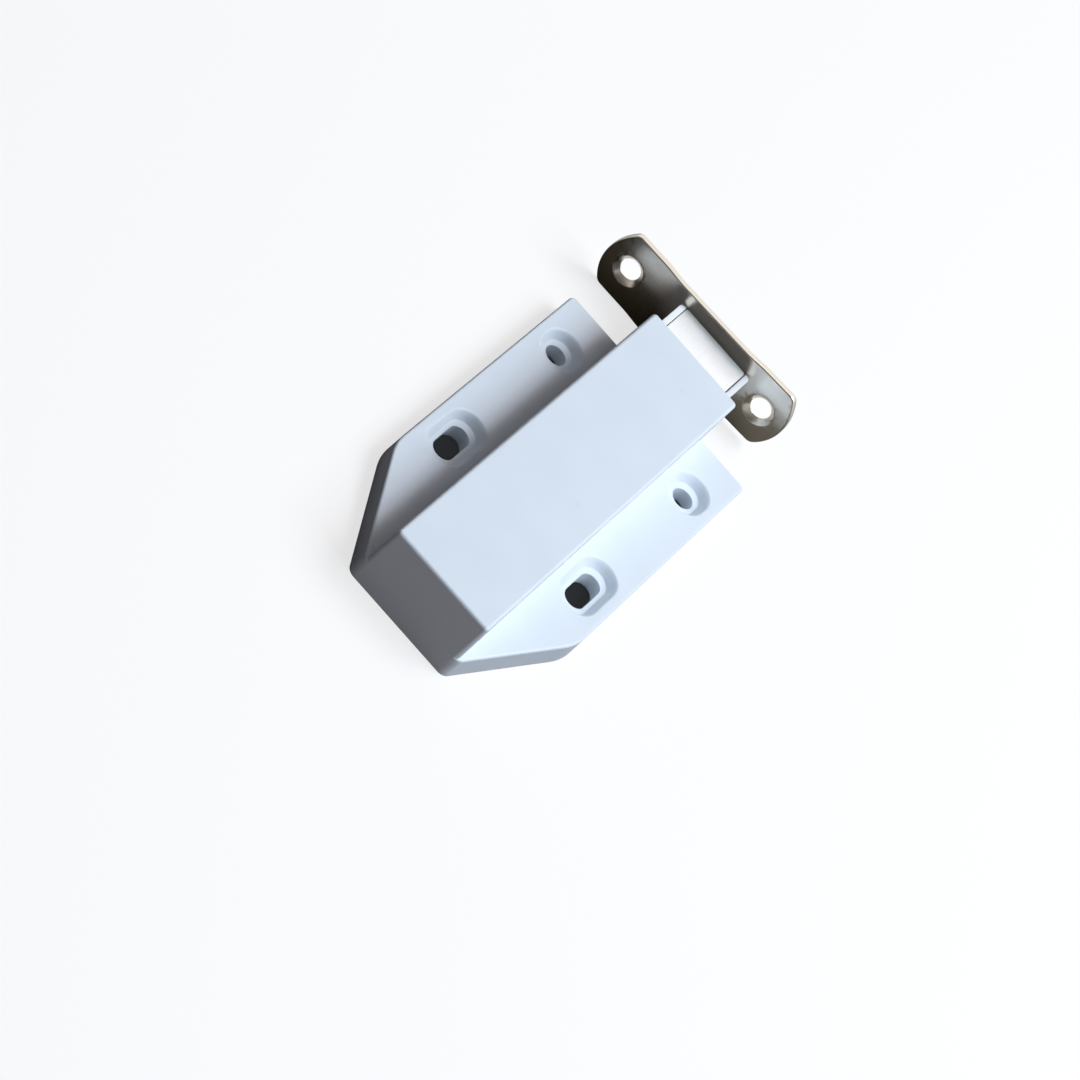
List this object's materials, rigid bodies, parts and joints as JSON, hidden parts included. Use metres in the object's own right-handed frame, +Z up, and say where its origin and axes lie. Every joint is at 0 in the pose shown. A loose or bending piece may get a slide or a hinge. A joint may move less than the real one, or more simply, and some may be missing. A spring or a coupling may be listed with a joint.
{
  "type": "magnetic push catch",
  "caption": "Push-to-open cupboard catch: white moulded housing with screw flanges, sprung magnetic plunger with a heart-cam latch, and a countersunk steel strike plate.",
  "frame": {"origin": "midway between the round front screw holes, on the mounting face", "axes": "+Z up from the mounting face, +Y the way the plunger points, +X to the right seen from the rear"},
  "size_m": [0.0448, 0.0945, 0.0144],
  "materials": {
    "housing_plastic": "moulded, satin, cool white",
    "cover_plastic": "moulded, satin, cool white",
    "plunger_plastic": "moulded, satin, cool white",
    "pole_steel": "bright zinc plated",
    "magnet_ferrite": "ground, dark grey",
    "rivet_steel": "plated",
    "spring_steel": "drawn wire",
    "rod_steel": "ground",
    "pin_steel": "drawn wire",
    "leaf_steel": "rolled strip",
    "screw_steel": "bright zinc plated",
    "strike_nickel": "satin nickel plated"
  },
  "bodies": {
    "housing": {"housing": "housing_plastic", "base_cover": "cover_plastic", "spring_left": "spring_steel", "spring_right": "spring_steel", "spring_rod_left": "rod_steel", "spring_rod_right": "rod_steel", "cover_screw_left": "screw_steel", "cover_screw_right": "screw_steel", "leaf_spring": "leaf_steel"},
    "plunger": {"plunger": "plunger_plastic", "upper_pole_plate": "pole_steel", "lower_pole_plate": "pole_steel", "magnet_left": "magnet_ferrite", "magnet_right": "magnet_ferrite", "plate_rivet_left": "rivet_steel", "plate_rivet_right": "rivet_steel", "strike_plate": "strike_nickel"},
    "latch_pin": {"latch_pin": "pin_steel"}
  },
  "joints": [
    {"name": "plunger_slide", "type": "slide", "parent": "housing", "child": "plunger", "axis": [0, 1, 0], "range_m": [-0.0075, 0], "stiffness_N_per_m": 500, "springref_m": 0.009, "deforming": ["spring_left", "spring_right"]},
    {"name": "pin_swing", "type": "hinge", "parent": "housing", "child": "latch_pin", "pos_m": [0, -0.0475, 0.0029], "axis": [0, 0, 1], "range_deg": [0, 6.5]}
  ],
  "couplings": [
    {"joint": "pin_swing", "follows": "plunger_slide", "rad_per_m": -15.12}
  ]
}
